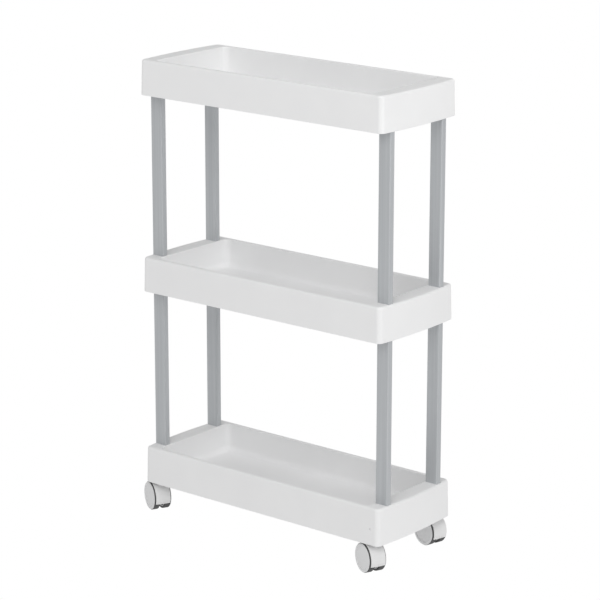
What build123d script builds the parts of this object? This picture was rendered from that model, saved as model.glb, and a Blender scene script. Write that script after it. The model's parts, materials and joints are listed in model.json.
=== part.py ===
from build123d import *
import math
import os

# A slim three-tier rolling utility cart. Millimetres, +Z up, +X along the trays, -Y is the
# front. The origin is on the floor, midway between the four caster swivel axes.

# --- driving dimensions -------------------------------------------------------------------

TRAY_LENGTH = 400.0             # tip to tip of the bowed ends, at the foot of the skirt
TRAY_WIDTH = 152.4              # across the two straight sides, at the foot of the skirt
END_BOW = 4.0                   # how far each short end bulges past its corners
CORNER_RADIUS = 6.0             # upright outside corners
DRAFT = 0.95                    # how much each side leans in from foot to rim
WALL = 1.8                      # moulded wall thickness
RIM_EDGE_RADIUS = 3.0           # rounding of the rim's outer edge
BASIN_EDGE_RADIUS = 1.2         # rounding where the rim drops into the basin

TRAY_HEIGHT = 46.0              # top and middle trays
BOTTOM_TRAY_HEIGHT = 49.1
BOTTOM_TRAY_FOOT = 41.0         # floor to the foot of the bottom tray's skirt
LOWER_PITCH = 260.6             # bottom rim to middle rim
UPPER_PITCH = 261.4             # middle rim to top rim

BASIN_HALF_LENGTH = 175.4       # at the rim
SIDE_RIM_WIDTH = 6.5            # basin's edge to the outside
BASIN_DRAFT = 1.1               # how much each basin wall leans in, rim to floor
BASIN_DEPTH = 37.8
BASIN_CORNER = 8.0              # upright corners inside the basin
FLOOR_BLEND = 7.5               # wall to floor

RIB_THICKNESS = 1.6
RIB_LIFT = 2.0                  # the ribs stop this far above the foot of the skirt
CROSS_RIBS = 9
CROSS_RIB_PITCH = 36.0
LONG_RIB_Y = 24.0
END_RIB_Y = 18.0                # short upright ribs inside each end

POST_X = 185.8                  # centre of each post
POST_Y = 52.3
POST_LENGTH_X = 17.9            # section of the tube
POST_LENGTH_Y = 9.2
POST_WALL = 1.2
POST_CORNER = 1.5
POST_PLAY = 0.1                 # gap all round in a socket
SOCKET_WALL = 1.9
SOCKET_DEPTH = 20.0             # middle tray, from above and from below
BOTTOM_SOCKET_DEPTH = 26.0
TOP_SOCKET_ROOF = 3.0

SWIVEL_X = 181.2                # caster stem axes
SWIVEL_Y = 64.0
STEM_RADIUS = 3.95
STEM_LENGTH = 25.0              # above its collar
STEM_TIP = 1.2
SOCKET_BORE = 4.0
SOCKET_BORE_DEPTH = 28.0
SOCKET_BOSS_RADIUS = 6.8
SOCKET_BOSS_FOOT = 42.5
COLLAR_RADIUS = 5.2
COLLAR_HEIGHT = 1.15
COLLAR_GAP = 0.08
SHANK_RADIUS = 3.0              # part of the stem inside the hood
TANG = (6.0, 2.4, 13.0)         # flat tail of the stem in the hood's web
GROOVE_RADIUS = 3.0
GROOVE_FOOT = 9.0               # above the collar
GROOVE_HEIGHT = 8.4
RING_PLAY = 0.05
RING_HEIGHT = 8.0
RING_SLOT = 1.2

WHEEL_RADIUS = 19.2
WHEEL_TRAIL = 9.0               # swivel axis to axle
WHEEL_INNER = 3.4               # from the caster's middle plane to the wheel
WHEEL_OUTER = 12.6
DISC_THICKNESS = 0.9            # rim of the hub that shows outside the tread
DISC_RADIUS = 18.6
TREAD_INNER = 16.9
TREAD_SHOULDER = 0.9
HUB_RIM = 2.0
HUB_BOSS_RADIUS = 4.6
HUB_FACE = 1.6
HUB_DISH = 0.5                  # shallow recess in the outer face
HUB_DISH_RADIUS = 14.6
AXLE_RADIUS = 2.0
AXLE_HALF_LENGTH = 10.2
AXLE_PLAY = 0.05
SNAP_GROOVE = (8.4, 9.6)        # from and to, along the axle
SNAP_GROOVE_RADIUS = 1.6
SNAP_LIP = (8.6, 9.4)

HOOD_INNER = 19.9
HOOD_OUTER = 21.4
HOOD_HALF_WIDTH = 10.2
HOOD_FRONT_ANGLE = -20.0        # lower front edge, from level with the axle
HOOD_REAR_ANGLE = 100.0
WEB_FRONT_ANGLE = 0.0           # the web stops short of the cover's front edge
HOOD_EDGE_RADIUS = 0.5
WEB_HALF_THICKNESS = 2.2
WEB_BOSS_RADIUS = 6.0
HOOD_BOSS_RADIUS = 5.4
HOOD_BOSS_TOP = 41.2

# which way each caster's hood faces at rest, in degrees from +X
CASTER_ANGLES = {
    "front_left": -26.0,
    "front_right": -23.0,
    "back_left": -15.0,
    "back_right": -14.0,
}

# --- heights worked out from them ---------------------------------------------------------

BOTTOM_RIM = BOTTOM_TRAY_FOOT + BOTTOM_TRAY_HEIGHT
MIDDLE_RIM = BOTTOM_RIM + LOWER_PITCH
TOP_RIM = MIDDLE_RIM + UPPER_PITCH
MIDDLE_TRAY_FOOT = MIDDLE_RIM - TRAY_HEIGHT
TOP_TRAY_FOOT = TOP_RIM - TRAY_HEIGHT
COLLAR_TOP = SOCKET_BOSS_FOOT - COLLAR_GAP
COLLAR_FOOT = COLLAR_TOP - COLLAR_HEIGHT

SIDES = {"front": -1, "back": 1}
ENDS = {"left": -1, "right": 1}


# --- trays --------------------------------------------------------------------------------

def outline(half_length, half_width, bow, corner, z):
    """A rectangle with bowed short ends and rounded corners, lying at height z."""
    x = half_length - bow
    front = Line((-x, -half_width), (x, -half_width))
    back = Line((x, half_width), (-x, half_width))
    if bow > 0:
        right = ThreePointArc((x, -half_width), (half_length, 0), (x, half_width))
        left = ThreePointArc((-x, half_width), (-half_length, 0), (-x, -half_width))
    else:
        right = Line((x, -half_width), (x, half_width))
        left = Line((-x, half_width), (-x, -half_width))
    face = make_face([front, right, back, left])
    face = fillet(face.vertices(), corner)
    return Plane.XY.offset(z) * face


def edges_at(solid, z):
    """The level edges of a solid that lie at height z."""
    return [e for e in solid.edges() if abs(e.center().Z - z) < 0.01 and e.bounding_box().size.Z < 0.01]


def skirt_solid(foot, rim, inset):
    """The outside of a tray, drawn in by inset all round."""
    half_length = TRAY_LENGTH / 2 - inset
    half_width = TRAY_WIDTH / 2 - inset
    corner = CORNER_RADIUS - inset
    low = outline(half_length, half_width, END_BOW, corner, foot)
    high = outline(half_length - DRAFT, half_width - DRAFT, END_BOW, corner, rim)
    return loft([low, high], ruled=True)


def basin_solid(rim, grow):
    """The space inside a basin, grown by grow all round, with its floor blend."""
    floor = rim - BASIN_DEPTH - grow
    half_length = BASIN_HALF_LENGTH + grow
    half_width = TRAY_WIDTH / 2 - DRAFT - SIDE_RIM_WIDTH + grow
    corner = BASIN_CORNER + grow
    low = outline(half_length - BASIN_DRAFT, half_width - BASIN_DRAFT, 0, corner, floor)
    high = outline(half_length, half_width, 0, corner, rim)
    solid = loft([low, high], ruled=True)
    return fillet(edges_at(solid, floor), FLOOR_BLEND + grow)


def plate(x, y, z_low, z_high, length, width):
    """An upright block centred on x, y."""
    middle = (z_low + z_high) / 2
    return Pos(x, y, middle) * Box(length, width, z_high - z_low)


def rib_blocks(foot, floor_underside):
    """Stiffening ribs under the floor, and short ones inside each end."""
    low = foot + RIB_LIFT
    blocks = []
    for i in range(CROSS_RIBS):
        x = (i - (CROSS_RIBS - 1) / 2) * CROSS_RIB_PITCH
        blocks.append(plate(x, 0, low, floor_underside, RIB_THICKNESS, TRAY_WIDTH))
    for y in (-LONG_RIB_Y, LONG_RIB_Y):
        blocks.append(plate(0, y, low, floor_underside, TRAY_LENGTH, RIB_THICKNESS))
    for end in ENDS.values():
        for y in (-END_RIB_Y, END_RIB_Y):
            x = end * (BASIN_HALF_LENGTH + TRAY_LENGTH / 2) / 2
            length = TRAY_LENGTH / 2 - BASIN_HALF_LENGTH
            blocks.append(plate(x, y, low, floor_underside + BASIN_DEPTH, length, RIB_THICKNESS))
    return blocks


def post_places():
    """The name and centre of each of the four posts of a storey."""
    for side, sy in SIDES.items():
        for end, sx in ENDS.items():
            yield f"{side}_{end}", sx * POST_X, sy * POST_Y


def post_blocks(z_low, z_high, grow):
    """Four blocks of the post's section, grown by grow, between two heights."""
    length = POST_LENGTH_X + 2 * grow
    width = POST_LENGTH_Y + 2 * grow
    return [plate(x, y, z_low, z_high, length, width) for _, x, y in post_places()]


def tray(foot, rim, bosses, sockets):
    """One moulded tray: a shell open below, with ribs, bosses and the sockets cut in them."""
    outer = skirt_solid(foot, rim, 0)
    outer = fillet(edges_at(outer, rim), RIM_EDGE_RADIUS)
    body = outer - basin_solid(rim, 0)
    basin_edge = [e for e in edges_at(body, rim) if abs(e.center().X) < BASIN_HALF_LENGTH + 0.1]
    inner_y = TRAY_WIDTH / 2 - DRAFT - SIDE_RIM_WIDTH + 0.1
    body = fillet([e for e in basin_edge if abs(e.center().Y) < inner_y], BASIN_EDGE_RADIUS)
    hollow = skirt_solid(foot, rim - WALL, WALL) - basin_solid(rim, WALL)
    floor_underside = rim - BASIN_DEPTH - WALL
    for block in rib_blocks(foot, floor_underside) + bosses:
        hollow = hollow - block
    body = body - hollow
    for socket in sockets:
        body = body - socket
    return body


def socket_bosses(z_low, z_high):
    """The thickened walls round four post sockets."""
    return post_blocks(z_low, z_high, POST_PLAY + SOCKET_WALL)


def make_trays():
    """The three trays, by name."""
    bottom_floor = BOTTOM_RIM - BOTTOM_SOCKET_DEPTH
    caster_bosses = []
    caster_bores = []
    for sx in ENDS.values():
        for sy in SIDES.values():
            place = Pos(sx * SWIVEL_X, sy * SWIVEL_Y, 0)
            column = BOTTOM_RIM - SOCKET_BOSS_FOOT
            shape = Cylinder(SOCKET_BOSS_RADIUS, column, align=(Align.CENTER, Align.CENTER, Align.MIN))
            caster_bosses.append(place * Pos(0, 0, SOCKET_BOSS_FOOT) * shape)
            depth = SOCKET_BORE_DEPTH
            shape = Cylinder(SOCKET_BORE, depth, align=(Align.CENTER, Align.CENTER, Align.MIN))
            caster_bores.append(place * Pos(0, 0, SOCKET_BOSS_FOOT) * shape)
    bottom = tray(
        BOTTOM_TRAY_FOOT,
        BOTTOM_RIM,
        socket_bosses(bottom_floor - SOCKET_WALL, BOTTOM_RIM) + caster_bosses,
        post_blocks(bottom_floor, BOTTOM_RIM + 1, POST_PLAY) + caster_bores,
    )
    middle = tray(
        MIDDLE_TRAY_FOOT,
        MIDDLE_RIM,
        socket_bosses(MIDDLE_TRAY_FOOT + RIB_LIFT, MIDDLE_RIM),
        post_blocks(MIDDLE_RIM - SOCKET_DEPTH, MIDDLE_RIM + 1, POST_PLAY)
        + post_blocks(MIDDLE_TRAY_FOOT, MIDDLE_TRAY_FOOT + RIB_LIFT + SOCKET_DEPTH, POST_PLAY),
    )
    top = tray(
        TOP_TRAY_FOOT,
        TOP_RIM,
        socket_bosses(TOP_TRAY_FOOT + RIB_LIFT, TOP_RIM),
        post_blocks(TOP_TRAY_FOOT, TOP_RIM - TOP_SOCKET_ROOF, POST_PLAY),
    )
    return {"bottom_tray": bottom, "middle_tray": middle, "top_tray": top}


# --- posts --------------------------------------------------------------------------------

def post(x, y, z_low, z_high):
    """One length of rectangular tube, standing on end."""
    outside = RectangleRounded(POST_LENGTH_X, POST_LENGTH_Y, POST_CORNER)
    inside = Rectangle(POST_LENGTH_X - 2 * POST_WALL, POST_LENGTH_Y - 2 * POST_WALL)
    return Pos(x, y, z_low) * extrude(outside - inside, z_high - z_low)


def make_posts():
    """The eight posts, by name: a lower and an upper storey of four."""
    lower = (BOTTOM_RIM - BOTTOM_SOCKET_DEPTH, MIDDLE_TRAY_FOOT + RIB_LIFT + SOCKET_DEPTH)
    upper = (MIDDLE_RIM - SOCKET_DEPTH, TOP_RIM - TOP_SOCKET_ROOF)
    posts = {}
    for storey, (z_low, z_high) in {"lower": lower, "upper": upper}.items():
        for corner, x, y in post_places():
            posts[f"{storey}_post_{corner}"] = post(x, y, z_low, z_high)
    return posts


# --- casters ------------------------------------------------------------------------------
# Drawn with the swivel axis on the Z axis and the hood facing +X, then turned and placed.

def turned(points, z_axis):
    """A solid of revolution about the axle or about Z, from (distance along, radius) points."""
    closed = Polyline(*points, close=True)
    if z_axis:
        return revolve(Plane.XZ * make_face(closed), Axis.Z, 360)
    return revolve(Plane.XY * make_face(closed), Axis.Y, 360)


def at_axle(shape):
    """Moves a shape drawn about the origin to the axle."""
    return Pos(-WHEEL_TRAIL, 0, WHEEL_RADIUS) * shape


def make_stem():
    """The turned steel stem: conical tip, groove, collar, shank and flat tang."""
    groove_foot = COLLAR_TOP + GROOVE_FOOT
    groove_top = groove_foot + GROOVE_HEIGHT
    tip = COLLAR_TOP + STEM_LENGTH
    shank_foot = WHEEL_RADIUS + HOOD_INNER - TANG[2] / 4
    profile = [
        (0, shank_foot),
        (SHANK_RADIUS, shank_foot),
        (SHANK_RADIUS, COLLAR_FOOT),
        (COLLAR_RADIUS, COLLAR_FOOT),
        (COLLAR_RADIUS, COLLAR_TOP),
        (STEM_RADIUS, COLLAR_TOP),
        (STEM_RADIUS, groove_foot),
        (GROOVE_RADIUS, groove_foot),
        (GROOVE_RADIUS, groove_top),
        (STEM_RADIUS, groove_top),
        (STEM_RADIUS, tip - STEM_TIP),
        (STEM_RADIUS - STEM_TIP, tip),
        (0, tip),
    ]
    tang = plate(0, 0, shank_foot - TANG[2], shank_foot, TANG[0], TANG[1])
    return turned(profile, True) + tang


def make_grip_ring():
    """The split steel ring that sits in the stem's groove and grips the socket."""
    foot = COLLAR_TOP + GROOVE_FOOT + (GROOVE_HEIGHT - RING_HEIGHT) / 2
    profile = Circle(SOCKET_BORE) - Circle(GROOVE_RADIUS + RING_PLAY)
    ring = Pos(0, 0, foot) * extrude(profile, RING_HEIGHT)
    slot = plate(SOCKET_BORE, 0, foot, foot + RING_HEIGHT, 2 * SOCKET_BORE, RING_SLOT)
    return ring - slot


def make_axle():
    """The steel axle, with a snap groove near each end."""
    start, end = SNAP_GROOVE
    profile = [
        (0, -AXLE_HALF_LENGTH),
        (AXLE_RADIUS, -AXLE_HALF_LENGTH),
        (AXLE_RADIUS, -end),
        (SNAP_GROOVE_RADIUS, -end),
        (SNAP_GROOVE_RADIUS, -start),
        (AXLE_RADIUS, -start),
        (AXLE_RADIUS, start),
        (SNAP_GROOVE_RADIUS, start),
        (SNAP_GROOVE_RADIUS, end),
        (AXLE_RADIUS, end),
        (AXLE_RADIUS, AXLE_HALF_LENGTH),
        (0, AXLE_HALF_LENGTH),
    ]
    return at_axle(turned(profile, False))


def sector(radius, start, end, half_width):
    """A pie slice about the axle between two angles, as thick as the half width each way."""
    steps = 8
    arc = [start + (end - start) * i / steps for i in range(steps + 1)]
    far = 2 * radius
    points = [(far * math.cos(math.radians(a)), far * math.sin(math.radians(a))) for a in arc]
    slice_face = make_face(Polyline((0, 0), *points, close=True)) & Circle(radius)
    return extrude(Plane.XZ * slice_face, half_width, both=True)


def make_hood(stem, axle):
    """The moulded hood: curved cover, web between the wheels, axle boss and stem boss."""
    cover = sector(HOOD_OUTER, HOOD_FRONT_ANGLE, HOOD_REAR_ANGLE, HOOD_HALF_WIDTH)
    inside = extrude(Plane.XZ * Circle(HOOD_INNER), HOOD_HALF_WIDTH, both=True)
    cover = cover - inside
    rims = [e for e in cover.edges() if e.geom_type == GeomType.CIRCLE and e.radius > HOOD_INNER + 0.1]
    cover = fillet(rims, HOOD_EDGE_RADIUS)
    boss_height = HOOD_BOSS_TOP - WHEEL_RADIUS
    stem_boss = Cylinder(HOOD_BOSS_RADIUS, boss_height, align=(Align.CENTER, Align.CENTER, Align.MIN))
    stem_boss = Pos(WHEEL_TRAIL, 0, 0) * stem_boss - inside
    web = sector(HOOD_INNER + 0.2, WEB_FRONT_ANGLE, HOOD_REAR_ANGLE, WEB_HALF_THICKNESS)
    axle_boss = extrude(Plane.XZ * Circle(WEB_BOSS_RADIUS), WEB_HALF_THICKNESS, both=True)
    return at_axle(cover + stem_boss + web + axle_boss) - stem - axle


def make_hub(side):
    """One wheel's moulded centre, closed outside, with a snap lip in its blind bore."""
    bore = AXLE_RADIUS + AXLE_PLAY
    lip = SNAP_GROOVE_RADIUS + AXLE_PLAY
    face = WHEEL_OUTER - HUB_DISH
    behind_face = face - HUB_FACE
    flange = WHEEL_OUTER - DISC_THICKNESS
    bevel = (WHEEL_OUTER - flange) / 2
    rim_inside = TREAD_INNER - HUB_RIM
    profile = [
        (bore, WHEEL_INNER),
        (HUB_BOSS_RADIUS, WHEEL_INNER),
        (HUB_BOSS_RADIUS, behind_face),
        (rim_inside, behind_face),
        (rim_inside, WHEEL_INNER + bevel),
        (TREAD_INNER, WHEEL_INNER + bevel),
        (TREAD_INNER, flange),
        (DISC_RADIUS, flange),
        (DISC_RADIUS, WHEEL_OUTER - bevel),
        (DISC_RADIUS - bevel, WHEEL_OUTER),
        (HUB_DISH_RADIUS + HUB_DISH, WHEEL_OUTER),
        (HUB_DISH_RADIUS, face),
        (0, face),
        (0, AXLE_HALF_LENGTH + AXLE_PLAY),
        (bore, AXLE_HALF_LENGTH + AXLE_PLAY),
        (bore, SNAP_LIP[1]),
        (lip, SNAP_LIP[1]),
        (lip, SNAP_LIP[0]),
        (bore, SNAP_LIP[0]),
    ]
    return at_axle(turned([(r, side * along) for r, along in profile], False))


def make_tread(side):
    """One wheel's soft tread ring."""
    outer = WHEEL_OUTER - DISC_THICKNESS
    profile = [
        (TREAD_INNER, WHEEL_INNER),
        (WHEEL_RADIUS - TREAD_SHOULDER, WHEEL_INNER),
        (WHEEL_RADIUS, WHEEL_INNER + TREAD_SHOULDER),
        (WHEEL_RADIUS, outer - TREAD_SHOULDER / 2),
        (WHEEL_RADIUS - TREAD_SHOULDER / 2, outer),
        (TREAD_INNER, outer),
    ]
    return at_axle(turned([(r, side * along) for r, along in profile], False))


def make_casters():
    """Four casters' pieces, by name, each turned to its rest angle and set in its place."""
    stem = make_stem()
    axle = make_axle()
    pieces = {
        "caster_hood": make_hood(stem, axle),
        "caster_stem": stem,
        "caster_grip_ring": make_grip_ring(),
        "caster_axle": axle,
        "left_wheel": make_hub(1),
        "right_wheel": make_hub(-1),
        "left_tread": make_tread(1),
        "right_tread": make_tread(-1),
    }
    placed = {}
    for side, sy in SIDES.items():
        for end, sx in ENDS.items():
            corner = f"{side}_{end}"
            place = Pos(sx * SWIVEL_X, sy * SWIVEL_Y, 0) * Rot(0, 0, CASTER_ANGLES[corner])
            for name, piece in pieces.items():
                placed[f"{corner}_{name}"] = place * piece
    return placed


# --- export -------------------------------------------------------------------------------

os.makedirs("parts", exist_ok=True)
for node, shape in {**make_trays(), **make_posts(), **make_casters()}.items():
    export_step(shape, f"parts/{node}.step")
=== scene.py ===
import json
import math

import bmesh
import bpy
from mathutils import Matrix, Vector


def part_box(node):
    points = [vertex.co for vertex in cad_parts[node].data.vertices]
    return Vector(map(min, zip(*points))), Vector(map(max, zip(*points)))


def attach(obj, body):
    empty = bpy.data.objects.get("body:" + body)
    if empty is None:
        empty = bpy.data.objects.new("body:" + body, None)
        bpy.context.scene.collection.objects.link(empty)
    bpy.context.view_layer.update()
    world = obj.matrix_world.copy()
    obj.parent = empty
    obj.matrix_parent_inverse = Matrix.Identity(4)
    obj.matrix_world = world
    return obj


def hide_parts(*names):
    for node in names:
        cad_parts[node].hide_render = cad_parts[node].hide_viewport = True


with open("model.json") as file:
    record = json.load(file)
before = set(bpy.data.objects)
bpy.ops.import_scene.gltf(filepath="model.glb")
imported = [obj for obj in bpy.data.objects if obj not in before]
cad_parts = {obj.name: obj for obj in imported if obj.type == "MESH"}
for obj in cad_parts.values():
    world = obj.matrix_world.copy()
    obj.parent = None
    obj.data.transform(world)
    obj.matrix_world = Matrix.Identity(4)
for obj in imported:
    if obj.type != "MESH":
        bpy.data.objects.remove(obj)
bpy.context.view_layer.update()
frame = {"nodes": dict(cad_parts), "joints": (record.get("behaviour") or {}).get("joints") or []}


# ------------------------------------------------------------------------------------------
# The camera. It stands off the cart's right front corner, well above the top tray, and looks
# down a little through a long lens, so that the upright edges stay nearly parallel.

CAMERA_PLACE = (2.0373, -2.4807, 1.1982)
CAMERA_AZIMUTH = 39.281
CAMERA_DIP = 15.456
CAMERA_ROLL = 0.051
CAMERA_LENS = 155.241

camera_data = bpy.data.cameras.new("studio_camera")
camera_data.lens = CAMERA_LENS
camera_data.sensor_width = 36.0
camera = bpy.data.objects.new("studio_camera", camera_data)
bpy.context.scene.collection.objects.link(camera)
aim = Matrix.Rotation(math.radians(CAMERA_AZIMUTH), 4, "Z")
aim = aim @ Matrix.Rotation(math.radians(90 - CAMERA_DIP), 4, "X")
aim = aim @ Matrix.Rotation(math.radians(CAMERA_ROLL), 4, "Z")
camera.matrix_world = Matrix.Translation(CAMERA_PLACE) @ aim
bpy.context.scene.camera = camera
bpy.context.scene.view_settings.view_transform = "Standard"


# ------------------------------------------------------------------------------------------
# The studio. A wide round white floor, blown out to the camera but only softly bright to the
# cart standing on it, a dim even room, and large soft lights: a key off the right front
# corner, and weaker ones off both ends and above.

FLOOR_RADIUS = 30.0
FLOOR_SIDES = 96
FLOOR_PAINT = 0.16
FLOOR_SEEN = 1.0
FLOOR_GLOW = 0.66
ROOM_LIGHT = 0.40
ROOM_SEEN = 1.0
LIGHTS = {
    "key_softbox": ((1.15, -2.10, 2.20), 1.6, 26.0),
    "right_softbox": ((2.20, -0.10, 1.10), 1.2, 13.0),
    "left_softbox": ((-2.00, -1.60, 1.20), 1.7, 3.0),
    "top_softbox": ((0.10, -0.10, 2.60), 1.6, 7.0),
}
LIGHTS_AIM = Vector((0.0, 0.0, 0.32))


def new_material(name):
    """A node material and its Principled shader."""
    material = bpy.data.materials.new(name)
    material.use_nodes = True
    return material, material.node_tree.nodes["Principled BSDF"]


def add_node(tree, kind, **settings):
    """A new node with its properties and, by name or number, the values of its sockets."""
    node = tree.nodes.new(kind)
    for key, value in settings.items():
        if key != "sockets":
            setattr(node, key, value)
    for socket, value in settings.get("sockets", {}).items():
        node.inputs[socket].default_value = value
    return node


def join(tree, *pairs):
    """Links each (from socket, to socket) pair."""
    for start, end in pairs:
        tree.links.new(start, end)


floor_mesh = bpy.data.meshes.new("studio_floor")
floor_shape = bmesh.new()
bmesh.ops.create_circle(floor_shape, cap_ends=True, segments=FLOOR_SIDES, radius=FLOOR_RADIUS)
floor_shape.to_mesh(floor_mesh)
floor_shape.free()
floor = bpy.data.objects.new("studio_floor", floor_mesh)
bpy.context.scene.collection.objects.link(floor)
floor_paint, floor_shader = new_material("studio_floor_paint")
floor_shader.inputs["Base Color"].default_value = (FLOOR_PAINT, FLOOR_PAINT, FLOOR_PAINT, 1)
floor_shader.inputs["Roughness"].default_value = 1.0
floor_shader.inputs["Specular IOR Level"].default_value = 0.0
floor_shader.inputs["Emission Color"].default_value = (1, 1, 1, 1)
floor_shader.inputs["Emission Strength"].default_value = FLOOR_GLOW
floor_tree = floor_paint.node_tree
floor_seen = add_node(floor_tree, "ShaderNodeEmission", sockets={"Strength": FLOOR_SEEN})
floor_path = add_node(floor_tree, "ShaderNodeLightPath")
floor_choice = add_node(floor_tree, "ShaderNodeMixShader")
join(
    floor_tree,
    (floor_path.outputs["Is Camera Ray"], floor_choice.inputs["Fac"]),
    (floor_shader.outputs[0], floor_choice.inputs[1]),
    (floor_seen.outputs[0], floor_choice.inputs[2]),
    (floor_choice.outputs[0], floor_tree.nodes["Material Output"].inputs["Surface"]),
)
floor_mesh.materials.append(floor_paint)

room = bpy.data.worlds.new("studio_room")
room.use_nodes = True
bpy.context.scene.world = room
room_tree = room.node_tree
room_back = room_tree.nodes["Background"]
room_back.inputs["Color"].default_value = (ROOM_LIGHT, ROOM_LIGHT, ROOM_LIGHT, 1)
room_seen = add_node(room_tree, "ShaderNodeBackground", sockets={"Color": (ROOM_SEEN,) * 3 + (1,)})
room_path = add_node(room_tree, "ShaderNodeLightPath")
room_choice = add_node(room_tree, "ShaderNodeMixShader")
join(
    room_tree,
    (room_path.outputs["Is Camera Ray"], room_choice.inputs["Fac"]),
    (room_back.outputs[0], room_choice.inputs[1]),
    (room_seen.outputs[0], room_choice.inputs[2]),
    (room_choice.outputs[0], room_tree.nodes["World Output"].inputs["Surface"]),
)

for light_name, (light_place, light_size, light_power) in LIGHTS.items():
    light_data = bpy.data.lights.new(light_name, "AREA")
    light_data.size = light_size
    light_data.energy = light_power
    light = bpy.data.objects.new(light_name, light_data)
    light.visible_camera = False
    light.location = light_place
    light.rotation_euler = (LIGHTS_AIM - Vector(light_place)).to_track_quat("-Z", "Y").to_euler()
    bpy.context.scene.collection.objects.link(light)


# ------------------------------------------------------------------------------------------
# The three trays. Each is one injection moulding in white polypropylene: a double wall that
# rolls over into a flat rim, a basin let down into it, and stiffening ribs, post sockets and,
# in the bottom one, caster sockets moulded underneath.

WALL = 0.0018
END_BOW = 0.0040
OUTER_CORNER = 0.0060
DRAFT = 0.00095
RIM_ROUND = 0.0030
BASIN_ROUND = 0.0012
FOOT_ROUND = 0.0004
BASIN_END = 0.0246                # width of the flat at each end, post sockets in it
BASIN_SIDE = 0.00745              # the same along the sides
BASIN_DEPTH = 0.0378
BASIN_DRAFT = 0.0011
BASIN_CORNER = 0.0080
FLOOR_BLEND = 0.0075
CORNER_STEPS = 10
SIDE_STEPS = 24
END_STEPS = 14
ROUND_STEPS = 5
BLEND_STEPS = 8
BURIED = 0.0004                   # how far ribs and bosses run into a wall to fuse with it

RIB_THICKNESS = 0.0016
RIB_LIFT = 0.0020
CROSS_RIBS = 9
CROSS_RIB_PITCH = 0.036
LONG_RIB_Y = 0.024
END_RIB_Y = 0.018
SOCKET_WALL = 0.0019
SOCKET_PLAY = 0.0001
SOCKET_ROOF = 0.0030
CUT_OVERRUN = 0.0010              # how far the cuts run out past the moulding
BORE_OVERRUN = 0.0020
CASTER_BOSS = 0.0068
CASTER_BORE = 0.0040
CASTER_BORE_DEPTH = 0.028
CASTER_BOSS_LIFT = 0.0015
GATE_MARK_RADIUS = 0.0016
GATE_MARK_SIDES = 20
GATE_MARK_DEPTH = 0.0015
GATE_MARK_INSET = 0.0165
GATE_MARK_LIFT = 0.021
CREASE_ANGLE = math.radians(32)
CORNER_SEGMENTS = 3

# Settings of the painted highlight laid along rounded edges.
EDGE_HIGHLIGHT_SAMPLES = 6
EDGE_HIGHLIGHT_LEAN_START = 0.99             # cosine of the lean at which the painted edge highlight begins to show
EDGE_HIGHLIGHT_LEAN_FULL = 0.80

TRAY_WHITE = (0.895, 0.896, 0.898, 1)
TRAY_SHADE = (0.870, 0.871, 0.874, 1)
# Next: a painted highlight, the paler colour laid along the tray's rounded edges.
TRAY_EDGE_HIGHLIGHT = (0.920, 0.921, 0.923, 1)


def tray_outline(half_length, half_width, bow, corner, z):
    """A level ring of points: straight sides, bowed ends and round corners, anticlockwise."""
    flat_x = half_length - bow - corner
    flat_y = half_width - corner
    runs = ((1, 1, SIDE_STEPS), (-1, 1, END_STEPS), (-1, -1, SIDE_STEPS), (1, -1, END_STEPS))
    points = []
    for quarter, (sx, sy, steps) in enumerate(runs):
        for i in range(CORNER_STEPS + 1):
            angle = math.radians(90 * (quarter + i / CORNER_STEPS))
            x = sx * flat_x + corner * math.cos(angle)
            y = sy * flat_y + corner * math.sin(angle)
            points.append((x, y))
        start = points[-1]
        if sx == sy:
            end = (-sx * flat_x, start[1])
        else:
            end = (start[0], -sy * flat_y)
        for i in range(1, steps):
            share = i / steps
            x = start[0] + share * (end[0] - start[0])
            y = start[1] + share * (end[1] - start[1])
            points.append((x, y))
    ring = []
    for x, y in points:
        reach = min(1.0, max(0.0, (abs(x) - flat_x) / corner))
        bulge = bow * (1 - (y / half_width) ** 2) * reach
        ring.append(Vector((x + math.copysign(bulge, x), y, z)))
    return ring


def mesh_from_rings(name, rings):
    """A closed mesh through rings of equal count, capped at the first and the last."""
    count = len(rings[0])
    points = [p for ring in rings for p in ring]
    faces = [tuple(range(count))]
    for level in range(len(rings) - 1):
        near = level * count
        far = near + count
        for i in range(count):
            after = (i + 1) % count
            faces.append((near + i, far + i, far + after, near + after))
    last = (len(rings) - 1) * count
    faces.append(tuple(last + i for i in reversed(range(count))))
    mesh = bpy.data.meshes.new(name)
    mesh.from_pydata(points, [], faces)
    mesh.validate()
    return mesh


def place_mesh(mesh):
    """Puts a mesh in the scene under its own name, unmoved."""
    piece = bpy.data.objects.new(mesh.name, mesh)
    bpy.context.scene.collection.objects.link(piece)
    return piece


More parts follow.
